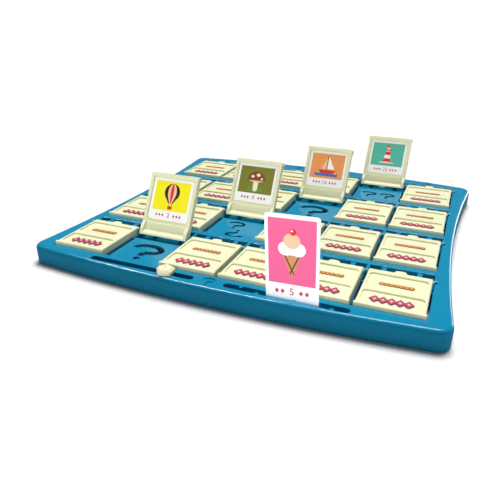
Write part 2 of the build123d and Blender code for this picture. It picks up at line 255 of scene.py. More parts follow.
@dataclass(frozen=True)
class MouldedPlastic:
    """Injection-moulded plastic: faint flow marks, fine texture, rubbed edges.

    Attributes:
        name: The material's name.
        colour: Main colour.
        flow: Colour of the slightly darker flow marks.
        rubbed: Colour of rubbed edges.
        roughness: Mean roughness.
        grain: Height of the fine surface texture, in metres.
        edge_reach: Width of the rubbed edges, in metres.
        depth: Share of light scattered under the surface.
        shine: Strength of the mirror reflection, 0.5 for plain plastic.
    """

    name: str
    colour: Colour
    flow: Colour
    rubbed: Colour
    roughness: float
    grain: float
    edge_reach: float
    depth: float = 0.0
    shine: float = 0.5

    def material(self) -> bpy.types.Material:
        """Make the material."""
        graph = Graph(self.name)
        where = graph.place()
        flow = graph.noise(where, 28, 4).smooth(0.35, 0.75)
        mottle = graph.noise(graph.place((1, 0.35, 1)), 420, 3)
        scuffs = graph.noise(graph.place((1, 9, 1)), 160, 5, 0.65).smooth(0.6, 0.8)
        edge = graph.edges(self.edge_reach)
        body = graph.mix(flow * 0.55 + mottle * 0.2, self.colour, self.flow)
        worn = graph.mix(edge * mottle.smooth(0.3, 0.65) * 0.55, body, self.rubbed)
        grain = graph.noise(where, 2600, 2)
        rough = self.roughness + (mottle - 0.5) * 0.1 + scuffs * 0.12 - edge * 0.05
        return graph.surface(
            {
                "Base Color": worn,
                "Roughness": rough,
                "Normal": graph.bump(grain + flow * 0.1, self.grain),
                "Subsurface Weight": self.depth,
                "Subsurface Radius": (0.9 * MM, 0.8 * MM, 0.4 * MM),
                "Subsurface Scale": 1.0,
                "IOR": 1.49,
                "Specular IOR Level": self.shine,
            }
        )


@dataclass(frozen=True)
class CardStock:
    """White laminated card with a faint pulp mottle and greyed edges.

    Attributes:
        name: The material's name.
        colour: Main colour.
        edge: Colour of the mottle and the edges.
    """

    name: str
    colour: Colour
    edge: Colour

    def material(self) -> bpy.types.Material:
        """Make the material."""
        graph = Graph(self.name)
        where = graph.place()
        pulp = graph.noise(where, 900, 4)
        rim = graph.edges(0.4 * MM)
        cloud = graph.noise(where, 60, 3)
        base = graph.mix(rim * 0.6 + pulp * 0.12, self.colour, self.edge)
        return graph.surface(
            {
                "Base Color": base,
                "Roughness": 0.34 + cloud * 0.12,
                "Normal": graph.bump(pulp, 3e-6),
                "Coat Weight": 0.12 + cloud * 0.1,
                "Coat Roughness": 0.25,
            }
        )


@dataclass(frozen=True)
class Ink:
    """Printed ink: its colour breaks up a little, as offset print does.

    Attributes:
        name: The material's name.
        colour: The ink's full colour.
        roughness: Least roughness.
    """

    name: str
    colour: Colour
    roughness: float = 0.36

    def material(self) -> bpy.types.Material:
        """Make the material."""
        graph = Graph(self.name)
        where = graph.place()
        screen = graph.noise(where, 2400, 1)
        cloud = graph.noise(where, 120, 3)
        deep = tuple(channel * 0.82 for channel in self.colour)
        base = graph.mix(screen.smooth(0.4, 0.7) * 0.35 + cloud * 0.2, self.colour, deep)
        return graph.surface(
            {
                "Base Color": base,
                "Roughness": self.roughness + cloud * 0.1,
                "Normal": graph.bump(screen, 1e-6),
            }
        )


@dataclass(frozen=True)
class Ground:
    """The plain pale floor or backdrop.

    Attributes:
        name: The material's name.
        colour: Main colour.
        glow: Strength of its own white light.
    """

    name: str
    colour: Colour
    glow: float = 0.0

    def material(self) -> bpy.types.Material:
        """Make the material."""
        graph = Graph(self.name)
        cloud = graph.noise(graph.place(), 6, 3)
        shade = tuple(channel * 0.99 for channel in self.colour)
        return graph.surface(
            {
                "Base Color": graph.mix(cloud * 0.4, self.colour, shade),
                "Roughness": 0.9,
                "Emission Color": (1, 1, 1, 1),
                "Emission Strength": self.glow,
            }
        )


TRAY_PLASTIC = MouldedPlastic(
    name="tray_plastic",
    colour=srgb(6, 136, 175),
    flow=srgb(5, 131, 169),
    rubbed=srgb(60, 182, 220),
    roughness=0.16,
    grain=1.0e-6,
    edge_reach=0.45 * MM,
    shine=0.25,
)
FRAME_PLASTIC = MouldedPlastic(
    name="frame_plastic",
    colour=srgb(228, 229, 192),
    flow=srgb(224, 224, 184),
    rubbed=srgb(242, 242, 218),
    roughness=0.38,
    grain=2.5e-6,
    edge_reach=0.5 * MM,
    depth=0.1,
)
CARD_STOCK = CardStock("card_stock", colour=srgb(252, 251, 250), edge=srgb(214, 212, 206))
FLOOR = Ground("floor_finish", colour=(0.85, 0.85, 0.85))
BACKDROP = Ground("backdrop_finish", colour=(0.5, 0.5, 0.5), glow=0.95)

INKS: dict[str, Ink] = {
    name: Ink(f"ink_{name}", srgb(*value))
    for name, value in {
        "yellow": (250, 238, 16),
        "olive": (124, 124, 34),
        "orange": (240, 156, 84),
        "teal": (84, 186, 162),
        "pink": (238, 96, 150),
        "sky": (110, 184, 226),
        "white": (250, 250, 250),
        "black": (34, 28, 28),
        "red": (222, 44, 52),
        "peach": (250, 196, 158),
        "brown": (128, 66, 38),
        "tan": (206, 148, 92),
        "cream": (246, 232, 196),
        "green": (92, 158, 72),
        "blue": (48, 112, 186),
        "caption": (206, 66, 96),
        "magenta": (206, 66, 110),
        "amber": (224, 140, 40),
        "wine": (120, 30, 60),
    }.items()
}


# ------------------------------------------------------------------------------- flat drawing


ARC_STEP = 9  # degrees between the points of a drawn arc
FEWEST_STEPS = 8  # sides of the shortest arc
BAND_STEPS = 4  # sides of the shortest arc of a ring
QUARTER_STEPS = 4  # sides of a rounded corner
RIPPLE_STEPS = 6  # sides of one wave


@dataclass(frozen=True)
class Shape:
    """One printed patch: an ink and its outline, in the drawing's own units."""

    ink: str
    outline: tuple[Point, ...]


def oval(
    ink: str, x: float, y: float, wide: float, high: float, start: float = 0, end: float = 360
) -> Shape:
    """An oval, or the part of it from one angle to another, cut straight.

    Args:
        ink: Ink's name.
        x: Centre across.
        y: Centre up.
        wide: Half width.
        high: Half height.
        start: First angle in degrees.
        end: Last angle in degrees.

    Returns:
        The shape.
    """
    steps = max(FEWEST_STEPS, round(abs(end - start) / ARC_STEP))
    last = steps if abs(end - start) >= 360 else steps + 1
    turns = [math.radians(start + (end - start) * i / steps) for i in range(last)]
    return Shape(ink, tuple((x + wide * math.cos(t), y + high * math.sin(t)) for t in turns))


def patch(ink: str, *points: Point) -> Shape:
    """A straight-sided shape."""
    return Shape(ink, points)


def bar(ink: str, x: float, y: float, wide: float, high: float) -> Shape:
    """A rectangle from its centre and half sizes."""
    left, right, low, top = x - wide, x + wide, y - high, y + high
    return patch(ink, (left, low), (right, low), (right, top), (left, top))


def rounded(ink: str, x: float, y: float, wide: float, high: float, radius: float) -> Shape:
    """A rectangle with round corners, from its centre and half sizes."""
    points: list[Point] = []
    corners = ((1, 1, 0), (-1, 1, 90), (-1, -1, 180), (1, -1, 270))
    for side, level, first in corners:
        for step in range(QUARTER_STEPS + 1):
            turn = math.radians(first + 90 / QUARTER_STEPS * step)
            across = x + side * (wide - radius) + radius * math.cos(turn)
            up = y + level * (high - radius) + radius * math.sin(turn)
            points.append((across, up))
    return Shape(ink, tuple(points))


def star(ink: str, x: float, y: float, size: float, tips: int, waist: float) -> Shape:
    """A star from its centre, tip radius, number of tips and waist share."""
    points: list[Point] = []
    for step in range(2 * tips):
        reach = size if step % 2 == 0 else size * waist
        turn = math.radians(90 + 180 * step / tips)
        points.append((x + reach * math.cos(turn), y + reach * math.sin(turn)))
    return Shape(ink, tuple(points))


def lozenge(ink: str, x: float, y: float, wide: float, high: float) -> Shape:
    """A lozenge from its centre and half sizes."""
    return star(ink, x, y, high, 2, wide / high)


def arc_band(
    ink: str, x: float, y: float, outer: float, inner: float, start: float, end: float
) -> Shape:
    """Part of a ring between two angles in degrees."""
    steps = max(BAND_STEPS, round(abs(end - start) / ARC_STEP))
    turns = [math.radians(start + (end - start) * i / steps) for i in range(steps + 1)]
    rim = [(x + outer * math.cos(t), y + outer * math.sin(t)) for t in turns]
    hole = [(x + inner * math.cos(t), y + inner * math.sin(t)) for t in reversed(turns)]
    return Shape(ink, tuple(rim + hole))


def petals(ink: str, x: float, y: float, reach: float, size: float, count: int) -> list[Shape]:
    """Round petals, so many, with their middles at one reach from a centre."""
    turns = [math.tau * i / count for i in range(count)]
    return [oval(ink, x + reach * math.cos(t), y + reach * math.sin(t), size, size) for t in turns]


def ripple(reach: float, level: float, swell: float, waves: int) -> list[Point]:
    """A wavy line from -reach to reach, about a level."""
    turns = [step / (RIPPLE_STEPS * waves) for step in range(RIPPLE_STEPS * waves + 1)]
    return [(reach * (2 * t - 1), level + swell * math.cos(math.tau * waves * t)) for t in turns]


class Motif(Enum):
    """The plain pictures that the cards show."""

    BALLOON = "balloon"
    MUSHROOM = "mushroom"
    BOAT = "boat"
    LIGHTHOUSE = "lighthouse"
    SUNDAE = "sundae"
    FLOWER = "flower"
    UMBRELLA = "umbrella"
    APPLE = "apple"
    ROCKET = "rocket"
    HOUSE = "house"
    TEAPOT = "teapot"
    KITE = "kite"

    def shapes(self) -> list[Shape]:
        """Outlines of the picture, from the lowest layer up, in a square one unit high."""
        return list(DRAWINGS[self])


DRAWINGS: dict[Motif, list[Shape]] = {
    Motif.BALLOON: [
        oval("black", 0, 0.14, 0.3, 0.31),
        patch("black", (-0.27, 0.02), (-0.09, -0.25), (0.09, -0.25), (0.27, 0.02)),
        oval("peach", 0, 0.14, 0.17, 0.3),
        patch("peach", (-0.165, 0.06), (-0.055, -0.245), (0.055, -0.245), (0.165, 0.06)),
        oval("red", 0, 0.14, 0.06, 0.3),
        patch("red", (-0.058, 0.06), (-0.02, -0.245), (0.02, -0.245), (0.058, 0.06)),
        patch("brown", (-0.08, -0.25), (-0.07, -0.25), (-0.05, -0.36), (-0.06, -0.36)),
        patch("brown", (0.08, -0.25), (0.07, -0.25), (0.05, -0.36), (0.06, -0.36)),
        rounded("red", 0, -0.41, 0.085, 0.06, 0.02),
    ],
    Motif.MUSHROOM: [
        rounded("cream", 0, -0.2, 0.1, 0.24, 0.05),
        oval("peach", 0, -0.02, 0.28, 0.06),
        oval("brown", 0, -0.02, 0.36, 0.36, 0, 180),
        oval("cream", -0.16, 0.13, 0.065, 0.055),
        oval("cream", 0.06, 0.2, 0.08, 0.065),
        oval("cream", 0.22, 0.06, 0.05, 0.04),
        patch("green", (-0.3, -0.44), (-0.22, -0.24), (-0.17, -0.4), (-0.1, -0.28), (-0.06, -0.44)),
        patch("green", (0.06, -0.44), (0.13, -0.3), (0.18, -0.4), (0.26, -0.22), (0.32, -0.44)),
    ],
    Motif.BOAT: [
        patch("white", (0.02, 0.42), (0.02, -0.12), (0.32, -0.12)),
        patch("peach", (-0.03, 0.34), (-0.03, -0.12), (-0.26, -0.12)),
        bar("brown", -0.005, 0.12, 0.014, 0.32),
        patch("red", (-0.34, -0.16), (0.38, -0.16), (0.26, -0.32), (-0.24, -0.32)),
        patch("blue", *ripple(0.48, -0.31, 0.022, 4), (0.48, -0.42), (-0.48, -0.42)),
    ],
    Motif.LIGHTHOUSE: [
        patch("white", (-0.17, -0.38), (-0.1, 0.18), (0.1, 0.18), (0.17, -0.38)),
        patch("red", (-0.125, -0.02), (-0.102, 0.14), (0.102, 0.14), (0.125, -0.02)),
        patch("red", (-0.166, -0.34), (-0.146, -0.18), (0.146, -0.18), (0.166, -0.34)),
        bar("brown", 0, 0.2, 0.15, 0.022),
        bar("peach", 0, 0.28, 0.075, 0.06),
        patch("red", (-0.11, 0.34), (0, 0.45), (0.11, 0.34)),
        oval("cream", 0, -0.4, 0.34, 0.07, 0, 180),
    ],
    Motif.SUNDAE: [
        patch("tan", (-0.15, -0.02), (0.15, -0.02), (0.01, -0.46), (-0.01, -0.46)),
        patch("brown", (-0.15, -0.02), (-0.12, -0.02), (0.04, -0.36), (0.03, -0.4)),
        patch("brown", (0.15, -0.02), (0.12, -0.02), (-0.04, -0.36), (-0.03, -0.4)),
        oval("white", -0.1, 0.06, 0.13, 0.12),
        oval("white", 0.1, 0.06, 0.13, 0.12),
        oval("peach", 0, 0.2, 0.14, 0.13),
        rounded("white", 0, 0.0, 0.2, 0.045, 0.04),
        oval("red", 0.02, 0.35, 0.055, 0.055),
        oval("white", 0.0, 0.37, 0.016, 0.016),
    ],
    Motif.FLOWER: [
        bar("green", 0, -0.14, 0.022, 0.26),
        oval("green", -0.11, -0.14, 0.1, 0.045),
        oval("green", 0.11, -0.06, 0.1, 0.045),
        *petals("white", 0, 0.2, 0.15, 0.095, 7),
        oval("amber", 0, 0.2, 0.095, 0.095),
        patch("red", (-0.17, -0.26), (0.17, -0.26), (0.12, -0.46), (-0.12, -0.46)),
        bar("brown", 0, -0.25, 0.19, 0.028),
    ],
    Motif.UMBRELLA: [
        bar("brown", 0, -0.1, 0.016, 0.3),
        arc_band("brown", 0.07, -0.38, 0.086, 0.054, 180, 360),
        oval("red", 0, 0.02, 0.38, 0.36, 0, 180),
        oval("cream", 0, 0.02, 0.22, 0.36, 0, 180),
        oval("red", 0, 0.02, 0.08, 0.36, 0, 180),
        bar("brown", 0, 0.4, 0.012, 0.04),
    ],
    Motif.APPLE: [
        oval("red", -0.11, -0.06, 0.2, 0.25),
        oval("red", 0.11, -0.06, 0.2, 0.25),
        patch("brown", (-0.02, 0.12), (0.02, 0.12), (0.06, 0.32), (0.02, 0.33)),
        oval("green", 0.16, 0.26, 0.12, 0.05),
        oval("peach", -0.17, 0.02, 0.045, 0.09),
    ],
    Motif.ROCKET: [
        patch("red", (-0.12, -0.1), (-0.25, -0.34), (-0.1, -0.26)),
        patch("red", (0.12, -0.1), (0.25, -0.34), (0.1, -0.26)),
        oval("white", 0, 0.04, 0.14, 0.36),
        patch("red", (-0.098, 0.3), (0, 0.46), (0.098, 0.3)),
        oval("blue", 0, 0.1, 0.062, 0.062),
        oval("sky", 0, 0.1, 0.038, 0.038),
        patch("amber", (-0.07, -0.31), (0.07, -0.31), (0, -0.46)),
    ],
    Motif.HOUSE: [
        bar("cream", 0, -0.17, 0.24, 0.2),
        patch("brown", (-0.34, 0.02), (0, 0.34), (0.34, 0.02)),
        bar("brown", 0.19, 0.24, 0.04, 0.1),
        bar("red", 0.09, -0.24, 0.065, 0.13),
        bar("sky", -0.12, -0.12, 0.07, 0.07),
        bar("white", -0.12, -0.12, 0.008, 0.07),
        bar("white", -0.12, -0.12, 0.07, 0.008),
        bar("green", 0, -0.4, 0.42, 0.035),
    ],
    Motif.TEAPOT: [
        arc_band("blue", -0.2, -0.06, 0.16, 0.11, 90, 270),
        patch("blue", (0.16, -0.14), (0.36, 0.16), (0.41, 0.13), (0.28, -0.14), (0.18, -0.26)),
        oval("white", 0, -0.1, 0.25, 0.23),
        bar("blue", 0, -0.1, 0.235, 0.04),
        oval("blue", 0, 0.11, 0.14, 0.045),
        oval("red", 0, 0.18, 0.04, 0.04),
        bar("blue", 0, -0.34, 0.14, 0.024),
    ],
    Motif.KITE: [
        patch("red", (0.04, 0.42), (-0.2, 0.12), (0.04, 0.12)),
        patch("white", (0.04, 0.42), (0.28, 0.12), (0.04, 0.12)),
        patch("amber", (0.04, -0.24), (-0.2, 0.12), (0.04, 0.12)),
        patch("blue", (0.04, -0.24), (0.28, 0.12), (0.04, 0.12)),
        patch("brown", (0.03, -0.24), (0.05, -0.24), (-0.08, -0.36), (0.02, -0.46), (-0.11, -0.36)),
        star("red", -0.06, -0.34, 0.06, 4, 0.35),
        star("red", -0.02, -0.44, 0.05, 4, 0.35),
    ],
}


# ------------------------------------------------------------------------------- printing


@dataclass(frozen=True)
class Sheet:
    """A flat face to print on.

    Attributes:
        centre: Middle of the face.
        across: Unit vector to the print's right.
        up: Unit vector to the print's top.
        out: Unit vector off the face.
        width: Extent across.
        height: Extent up.
    """

    centre: Vector
    across: Vector
    up: Vector
    out: Vector
    width: float
    height: float

    def matrix(self) -> Matrix:
        """Transform from print coordinates to the frame."""
        turn = Matrix((self.across, self.up, self.out)).transposed().to_4x4()
        return Matrix.Translation(self.centre) @ turn


@dataclass
class Print:
    """Layers of ink gathered into one mesh, each a hair above the one before.

    Attributes:
        name: The piece's name.
        sheet: The face it lies on.
        layer: Height of one layer.
        lift: Height of the lowest layer above the face.
    """

    name: str
    sheet: Sheet
    layer: float = 0.02 * MM
    lift: float = 0.03 * MM
    _mesh: bmesh.types.BMesh = field(default_factory=bmesh.new)
    _inks: list[str] = field(default_factory=list)
    _level: int = 0

    def _slot(self, ink: str) -> int:
        """Material slot of an ink, added the first time it is used."""
        if ink not in self._inks:
            self._inks.append(ink)
        return self._inks.index(ink)

    def add(self, shapes: Iterable[Shape], up: float, scale: float = 1.0) -> None:
        """Print shapes in the middle of the sheet's width.

        Args:
            shapes: What to print, from the lowest layer up.
            up: Their origin's place up the sheet, from its middle.
            scale: Length of one drawing unit.
        """
        for shape in shapes:
            level = self.lift + self.layer * self._level
            points = [(scale * x, up + scale * y, level) for x, y in shape.outline]
            face = self._mesh.faces.new([self._mesh.verts.new(point) for point in points])
            face.material_index = self._slot(shape.ink)
            face.normal_update()
            if face.normal.z < 0:
                face.normal_flip()
            self._level += 1

    def number(self, text: str, ink: str, up: float, size: float) -> None:
        """Print a plain number in the middle of the sheet's width.

        Args:
            text: The digits.
            ink: Ink's name.
            up: Its middle's place up the sheet.
            size: Height of the type.
        """
        curve = bpy.data.curves.new("digits", "FONT")
        curve.body = text
        curve.size = size
        curve.align_x = "CENTER"
        curve.align_y = "CENTER"
        curve.resolution_u = 3
        holder = bpy.data.objects.new("digits", curve)
        flat = bpy.data.meshes.new_from_object(holder)
        flat.transform(Matrix.Translation((0, up, self.lift + self.layer * self._level)))
        before = len(self._mesh.faces)
        self._mesh.from_mesh(flat)
        self._mesh.faces.ensure_lookup_table()
        for face in self._mesh.faces[before:]:
            face.material_index = self._slot(ink)
        bpy.data.objects.remove(holder)
        bpy.data.curves.remove(curve)
        bpy.data.meshes.remove(flat)
        self._level += 1

    def make(self, body: str, inks: dict[str, bpy.types.Material]) -> bpy.types.Object:
        """Turn the layers into one object that rides on a body.

        Args:
            body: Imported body's name.
            inks: Finished inks by name.

        Returns:
            The printed piece.
        """
        mesh = bpy.data.meshes.new(self.name)
        bmesh.ops.triangulate(self._mesh, faces=self._mesh.faces[:])
        self._mesh.transform(self.sheet.matrix())
        self._mesh.to_mesh(mesh)
        self._mesh.free()
        for ink in self._inks:
            mesh.materials.append(inks[ink])
        piece = bpy.data.objects.new(self.name, mesh)
        bpy.context.scene.collection.objects.link(piece)
        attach(piece, body)
        return piece


# ------------------------------------------------------------------------------- the game


@dataclass
class Hinge:
    """One flip frame's hinge, read from its joint.

    Attributes:
        row: Its row, from the front.
        column: Its column, from the left.
        place: A point on its axis.
        rest: Transform of the lying frame to where the frame is at rest.
        upright: True for a frame that stands at rest.
    """

    row: int
    column: int
    place: Vector
    rest: Matrix
    upright: bool

    SLACK_DEG = 1  # a lying frame's lower limit is nearer to 0 than this

    @classmethod
    def read(cls, joint: dict[str, Any]) -> Hinge:
        """Read a hinge.

        Args:
            joint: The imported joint.

        Returns:
            The hinge.
        """
        _, row, column = joint["child"].split("_")
        low, _ = joint["range_deg"]
        upright = low < -cls.SLACK_DEG
        turn = math.radians(-low) if upright else 0.0
        place = Vector(joint["pos_m"])
        spin = Matrix.Rotation(turn, 4, Vector(joint["axis"]))
        rest = Matrix.Translation(place) @ spin @ Matrix.Translation(-place)
        return cls(int(row[1:]), int(column[1:]), place, rest, upright)

    def name(self, prefix: str) -> str:
        """Name of this cell's piece of one kind."""
        return f"{prefix}_r{self.row}_c{self.column}"


@dataclass
class Board:
    """All the flip frames' hinges."""

    hinges: list[Hinge]

    def sheet(self, hinge: Hinge, prefix: str, under: bool, sink: float = 0.0) -> Sheet:
        """Find a printed face of one cell, at rest.

        Args:
            hinge: The cell's hinge.
            prefix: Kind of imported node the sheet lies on.
            under: True for the middle of a lying node's underside, False for the free end of
                its top.
            sink: How deep the top's printed floor lies.

        Returns:
            The face.
        """
        lying = next(h for h in self.hinges if not h.upright)
        low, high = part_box(lying.name(prefix))
        way = -1 if under else 1
        along = (low.y + high.y) / 2 if under else low.y
        centre = Vector((lying.place.x, along, low.z if under else high.z - sink))
        turn = hinge.rest.to_3x3()
        return Sheet(
            hinge.rest @ (centre + hinge.place - lying.place),
            turn @ Vector((1, 0, 0)),
            turn @ Vector((0, way, 0)),
            turn @ Vector((0, 0, way)),
            high.x - low.x,
            high.y - low.y,
        )


@dataclass(frozen=True)
class Caption:
    """A plain number between rows of small lozenges.

    Attributes:
        digits: Height of the number's type.
        size: Half height of a lozenge.
        clear: Middle of the card to the first lozenge.
        count: Lozenges on a side.
    """

    digits: float
    size: float
    clear: float
    count: int

    PITCH = 2.2  # between lozenges, in their half heights
    NARROWING = 0.8  # a lozenge's width as a share of its height

    def print_on(self, printed: Print, number: int, up: float) -> None:
        """Print the caption.

        Args:
            printed: The print it belongs to.
            number: The card's number.
            up: Its place up the sheet.
        """
        printed.number(str(number), "caption", up, self.digits)
        places = [
            side * (self.clear + self.PITCH * self.size * step)
            for side in (-1, 1)
            for step in range(self.count)
        ]
        wide = self.size * self.NARROWING
        printed.add([lozenge("caption", x, 0, wide, self.size) for x in places], up)


@dataclass(frozen=True)
class CardDesign:
    """What one card shows: the ground's ink, the picture and the number."""

    ground: str
    motif: Motif
    number: int


@dataclass
class FaceCards:
    """The printed cards in the flip frames.

    Attributes:
        side: White border at the picture's sides.
        top: White border above the picture.
        strip: White strip below the picture, which holds the caption.
        motif_share: Motif's height as a share of the picture's.
    """

    inks: dict[str, bpy.types.Material]
    slots: dict[str, str]
    side: float = 1.75 * MM
    top: float = 1.9 * MM
    strip: float = 6.7 * MM
    motif_share: float = 0.96

    CAPTION = Caption(digits=4.4 * MM, size=1.1 * MM, clear=4.4 * MM, count=3)
    GROUNDS = ("sky", "yellow", "teal", "orange", "pink", "olive")
    PLACED = {
        (1, 2): ("yellow", Motif.BALLOON),
        (2, 3): ("olive", Motif.MUSHROOM),
        (3, 4): ("orange", Motif.BOAT),
        (4, 5): ("teal", Motif.LIGHTHOUSE),
    }
    # How far a cell's ground and motif move on in their lists, for each row and each column.
    GROUND_STEPS = (2, 1)
    MOTIF_STEPS = (5, 7)

    def _design(self, row: int, column: int) -> CardDesign:
        """Choose a cell's ground, motif and number."""
        number = (row - 1) * COLUMNS + column
        if (row, column) in self.PLACED:
            return CardDesign(*self.PLACED[(row, column)], number)
        by_row, by_column = self.GROUND_STEPS
        ground = self.GROUNDS[(row * by_row + column * by_column) % len(self.GROUNDS)]
        by_row, by_column = self.MOTIF_STEPS
        motif = list(Motif)[(row * by_row + column * by_column) % len(Motif)]
        return CardDesign(ground, motif, number)

    def build(self, board: Board) -> list[bpy.types.Object]:
        """Print every card.

        Args:
            board: The frames' hinges.

        Returns:
            The printed pieces.
        """
        fronts = [board.sheet(hinge, "face", under=True) for hinge in board.hinges]
        return [self._card(hinge, front) for hinge, front in zip(board.hinges, fronts)]

    def _card(self, hinge: Hinge, sheet: Sheet) -> bpy.types.Object:
        """Print one card."""
        design = self._design(hinge.row, hinge.column)
        wide = sheet.width - 2 * self.side
        high = sheet.height - self.top - self.strip
        middle = sheet.height / 2 - self.top - high / 2
        printed = Print(hinge.name("print"), sheet)
        printed.add([bar(design.ground, 0, 0, wide / 2, high / 2)], middle)
        printed.add(design.motif.shapes(), middle, high * self.motif_share)
        self.CAPTION.print_on(printed, design.number, (self.strip - sheet.height) / 2)
        slot = self.slots[hinge.name("face")]
        return printed.make(hinge.name("flap"), self.inks)


@dataclass
class MysteryCard:
    """The large loose card in the front slot, a little askew.

    Attributes:
        corner: Radius of the card's corners.
        lean: Its turn in its own plane, top to the left.
        side: White border at the picture's sides.
        top: White border above the picture.
        picture: Picture's height.
        motif_scale: Length of one drawing unit.
        caption_drop: Picture's lower edge to the caption.
        number: The card's number.
    """

    inks: dict[str, bpy.types.Material]
    corner: float = 1.6 * MM
    lean: float = math.radians(2.2)
    side: float = 1.85 * MM
    top: float = 2.2 * MM
    picture: float = 37.5 * MM
    motif_scale: float = 33.0 * MM
    caption_drop: float = 4.6 * MM
    number: int = 5

    CAPTION = Caption(digits=6.0 * MM, size=1.5 * MM, clear=5.2 * MM, count=2)

    def build(self) -> bpy.types.Object:
        """Print the card.

        Returns:
            The printed piece.
        """
        sheet = self._sheet()
        wide = sheet.width - 2 * self.side
        middle = sheet.height / 2 - self.top - self.picture / 2
        printed = Print("print_mystery_card", sheet)
        printed.add([bar("pink", 0, 0, wide / 2, self.picture / 2)], middle)
        printed.add(Motif.SUNDAE.shapes(), middle, self.motif_scale)
        self.CAPTION.print_on(printed, self.number, middle - self.picture / 2 - self.caption_drop)
        return printed.make("mystery_card", self.inks)

    def _sheet(self) -> Sheet:
        """The card's front; its size follows from its box and its lean."""
        low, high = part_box("mystery_card")
        over, rise = math.cos(self.lean), math.sin(self.lean)
        spread = over**2 - rise**2
        across = high.x - low.x - 2 * self.corner
        up = high.z - low.z - 2 * self.corner
        return Sheet(
            Vector(((low.x + high.x) / 2, low.y, (low.z + high.z) / 2)),
            Vector((over, 0, rise)),
            Vector((-rise, 0, over)),
            Vector((0, -1, 0)),
            (across * over - up * rise) / spread + 2 * self.corner,
            (up * over - across * rise) / spread + 2 * self.corner,
        )


@dataclass(frozen=True)
class MarkRow:
    """A row of like marks, each with a dark outline.

    Attributes:
        count: Marks in the row.
        pitch: Distance between their middles.
        up: Row's height above the frame's free end.
        outer: Half width and half height of the dark outline.
        inner: Half width and half height of the coloured mark.
    """

    count: int
    pitch: float
    up: float
    outer: tuple[float, float]
    inner: tuple[float, float]

    def places(self) -> list[float]:
        """Middles of the marks, across the frame."""
        return [(i - (self.count - 1) // 2) * self.pitch for i in range(self.count)]


@dataclass
class BackPrints:
    """A row of beads and a row of lozenges printed on each frame's back.

    Attributes:
        sink: Depth of the printed floor below the back.
        eye: Half width and half height of a lozenge's pale middle.
    """

    inks: dict[str, bpy.types.Material]
    sink: float = 1.0 * MM
    eye: tuple[float, float] = (0.55 * MM, 0.7 * MM)

    BEADS = MarkRow(
        count=7,
        pitch=2.75 * MM,
        up=27.4 * MM,
        outer=(1.75 * MM, 1.95 * MM),
        inner=(1.15 * MM, 1.35 * MM),
    )
    LOZENGES = MarkRow(
        count=5,
        pitch=4.5 * MM,
        up=8.6 * MM,
        outer=(3.198 * MM, 3.9 * MM),
        inner=(2.204 * MM, 2.9 * MM),
    )

    def build(self, board: Board) -> list[bpy.types.Object]:
        """Print every back.

        Args:
            board: The frames' hinges.

        Returns:
            The printed pieces.
        """
        backs = [board.sheet(hinge, "flap", under=False, sink=self.sink) for hinge in board.hinges]
        return [self._back(hinge, back) for hinge, back in zip(board.hinges, backs)]

    def _back(self, hinge: Hinge, sheet: Sheet) -> bpy.types.Object:
        """Print one frame's back."""
        printed = Print(hinge.name("back_print"), sheet)
        beads = self.BEADS.places()
        band = [oval("brown", x, 0, *self.BEADS.outer) for x in beads]
        band += [oval("amber", x, 0, *self.BEADS.inner) for x in beads]
        printed.add(band, self.BEADS.up)
        places = self.LOZENGES.places()
        chain = [lozenge("wine", x, 0, *self.LOZENGES.outer) for x in places]
        chain += [lozenge("magenta", x, 0, *self.LOZENGES.inner) for x in places]
        chain += [oval("cream", x, 0, *self.eye) for x in places]
        printed.add(chain, self.LOZENGES.up)
        return printed.make(hinge.name("flap"), self.inks)


@dataclass
class Mouldings:
    """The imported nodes, which keep their shape and get a finish."""

    nodes: dict[str, bpy.types.Object]

    def dress(self) -> None:
        """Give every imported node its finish."""
        tray = TRAY_PLASTIC.material()
        frame = FRAME_PLASTIC.material()
        card = CARD_STOCK.material()
        for name, node in self.nodes.items():
            finish = frame
            if name == "tray":
                finish = tray
            elif name.startswith("face_") or name == "mystery_card":
                finish = card
            node.data.materials.clear()
            node.data.materials.append(finish)


@dataclass
class Cast:
    """The pieces of the game, grouped by the lamps that light them.

    Attributes:
        raised: Face cards and standing frames.
        lying: Lying frames and the slider.
        loose: The loose card.
        tray: The tray.
    """

    raised: list[bpy.types.Object]
    lying: list[bpy.types.Object]
    loose: list[bpy.types.Object]
    tray: list[bpy.types.Object]

    LOOSE = ("mystery_card", "print_mystery_card")
    CARDS = ("face_", "print_")

    @classmethod
    def sort(cls, things: Items, board: Board) -> Cast:
        """Group the pieces.

        Args:
            things: All of them.
            board: The frames' hinges, which tell the standing frames.

        Returns:
            The groups.
        """
        upright = tuple(hinge.name("") for hinge in board.hinges if hinge.upright)
        cast = cls([], [], [], [])
        for thing in things:
            name = thing.name
            group = cast.lying
            if name == "tray":
                group = cast.tray
            elif name in cls.LOOSE:
                group = cast.loose
            elif name.startswith(cls.CARDS) or name.endswith(upright):
                group = cast.raised
            group.append(thing)
        return cast


